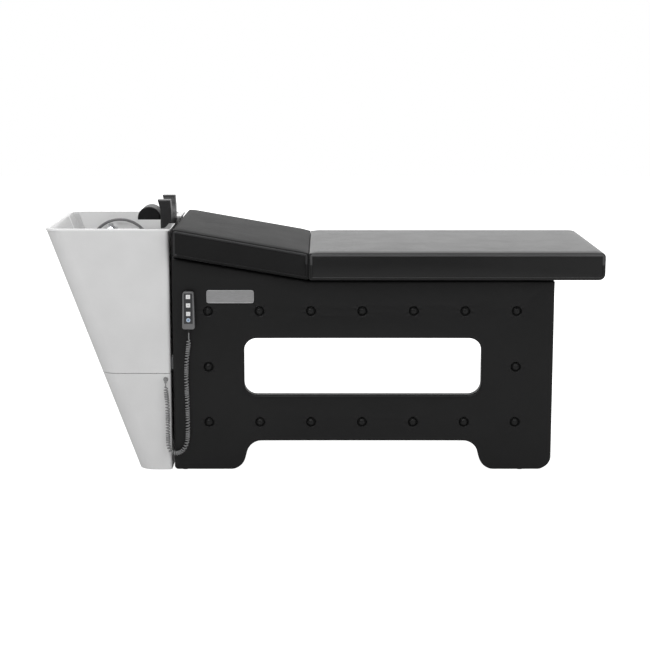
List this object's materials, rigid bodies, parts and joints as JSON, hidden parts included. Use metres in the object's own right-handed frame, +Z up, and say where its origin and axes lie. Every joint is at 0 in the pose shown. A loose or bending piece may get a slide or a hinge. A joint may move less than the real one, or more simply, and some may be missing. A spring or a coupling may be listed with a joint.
{
  "type": "hair washing bed",
  "caption": "Upholstered hair washing bed with a tilting backrest, a side panel base with a long window, and a slanted basin pedestal with mixer, neck rest and wall remote.",
  "frame": {"origin": "on the floor, halfway along the bed and on its centre line", "axes": "+X from the basin to the foot of the couch, -Y to the side with the remote, +Z up"},
  "size_m": [2.164, 0.77, 1.05],
  "materials": {
    "black_board": "black laminated board, edges sealed",
    "black_vinyl": "fine grained black upholstery vinyl, satin",
    "steel": "black powder coat",
    "light_steel": "light grey paint",
    "zinc": "zinc plated",
    "black_rubber": "matt",
    "grey_plastic": "fine texture",
    "black_plastic": "fine texture",
    "white_casing": "satin moulded casing",
    "white_bowl": "gloss glaze",
    "chrome": "polished",
    "white_plastic": "smooth",
    "braided_hose": "steel braid",
    "grey_hose": "grey plastic hose, satin",
    "neck_rubber": "soft satin",
    "head_rubber": "soft satin",
    "remote_grey": "fine texture",
    "keypad_dark": "membrane",
    "white_key": "smooth",
    "ring_key": "smooth",
    "cord_grey": "satin",
    "plate_aluminium": "satin anodised"
  },
  "bodies": {
    "base": {"near_side_board": "black_board", "near_side_pad": "black_vinyl", "far_side_board": "black_board", "far_side_pad": "black_vinyl", "panel_buttons": "black_vinyl", "cross_panels": "black_board", "side_rails": "steel", "cross_tubes": "steel", "frame_bolts": "zinc", "levelling_feet": "black_rubber", "seat_board": "black_board", "seat_cushion": "black_vinyl", "hinge_seat_leaves": "zinc", "hinge_pins": "zinc", "backrest_stops": "black_rubber", "actuator_base_bracket": "steel", "actuator_rear_pin": "zinc", "control_box": "black_plastic", "pedestal_frame": "steel", "link_brackets": "light_steel", "upper_casing": "white_casing", "lower_casing": "white_casing", "basin_bowl": "white_bowl", "drain_flange": "chrome", "drain_trap": "white_plastic", "supply_hoses": "braided_hose", "mixer_body": "chrome", "hose_gland": "chrome", "shower_hose": "grey_hose", "shower_cradle": "black_plastic", "remote_hook": "black_plastic", "remote_cord": "cord_grey", "cord_gland": "cord_grey", "side_plate": "plate_aluminium", "side_plate_screws": "plate_aluminium"},
    "backrest": {"backrest_board": "black_board", "backrest_cushion": "black_vinyl", "hinge_back_leaves": "zinc", "backrest_bracket": "steel", "actuator_front_pin": "zinc"},
    "actuator_housing": {"actuator_housing": "grey_plastic", "actuator_motor": "black_plastic"},
    "actuator_rod": {"actuator_rod": "zinc"},
    "remote": {"remote_front_shell": "remote_grey", "remote_back_shell": "remote_grey", "remote_keypad": "keypad_dark", "remote_strain_relief": "black_rubber"},
    "backrest_up_button": {"backrest_up_button": "white_key"},
    "backrest_down_button": {"backrest_down_button": "white_key"},
    "flat_button": {"flat_button": "white_key"},
    "power_button": {"power_button": "ring_key"},
    "mixer_cap": {"mixer_cap": "chrome"},
    "mixer_lever": {"mixer_lever": "chrome"},
    "hand_shower": {"hand_shower": "black_plastic", "spray_face": "grey_plastic"},
    "strainer": {"drain_strainer": "chrome"},
    "neck_rest": {"neck_rest": "neck_rubber", "neck_rest_clip": "zinc", "head_support": "head_rubber", "head_support_plate": "zinc"}
  },
  "joints": [
    {"name": "backrest_tilt", "type": "hinge", "parent": "base", "child": "backrest", "pos_m": [-0.058, 0, 0.842], "axis": [0, 1, 0], "range_deg": [0, 10.6]},
    {"name": "actuator_swing", "type": "hinge", "parent": "base", "child": "actuator_housing", "pos_m": [0.154, 0, 0.64], "axis": [0, 1, 0], "range_deg": [0, 5.36]},
    {"name": "actuator_extend", "type": "slide", "parent": "actuator_housing", "child": "actuator_rod", "axis": [-0.9854, 0, 0.1704], "range_m": [0, 0.0282]},
    {"name": "remote_lift", "type": "slide", "parent": "base", "child": "remote", "axis": [0, 0, 1], "range_m": [0, 0.03]},
    {"name": "mixer_turn", "type": "hinge", "parent": "base", "child": "mixer_cap", "pos_m": [-0.898, 0.243, 0.9], "axis": [0, 0, 1], "range_deg": [-40, 40]},
    {"name": "mixer_open", "type": "hinge", "parent": "mixer_cap", "child": "mixer_lever", "pos_m": [-0.904, 0.243, 0.9106], "axis": [0, -1, 0], "range_deg": [0, 20]},
    {"name": "hand_shower_lift", "type": "slide", "parent": "base", "child": "hand_shower", "axis": [0, 0, 1], "range_m": [0, 0.06]},
    {"name": "strainer_lift", "type": "slide", "parent": "base", "child": "strainer", "axis": [0, 0, 1], "range_m": [0, 0.06]},
    {"name": "neck_rest_lift", "type": "slide", "parent": "base", "child": "neck_rest", "axis": [0, 0, 1], "range_m": [0, 0.04]},
    {"name": "backrest_up_button_press", "type": "slide", "parent": "remote", "child": "backrest_up_button", "axis": [0, 1, 0], "range_m": [0, 0.0016], "stiffness_N_per_m": 400},
    {"name": "backrest_down_button_press", "type": "slide", "parent": "remote", "child": "backrest_down_button", "axis": [0, 1, 0], "range_m": [0, 0.0016], "stiffness_N_per_m": 400},
    {"name": "flat_button_press", "type": "slide", "parent": "remote", "child": "flat_button", "axis": [0, 1, 0], "range_m": [0, 0.0016], "stiffness_N_per_m": 400},
    {"name": "power_button_press", "type": "slide", "parent": "remote", "child": "power_button", "axis": [0, 1, 0], "range_m": [0, 0.0016], "stiffness_N_per_m": 400}
  ],
  "couplings": [
    {"joint": "actuator_swing", "follows": "backrest_tilt", "ratio": 0.5005},
    {"joint": "actuator_extend", "follows": "backrest_tilt", "m_per_rad": 0.15143}
  ]
}
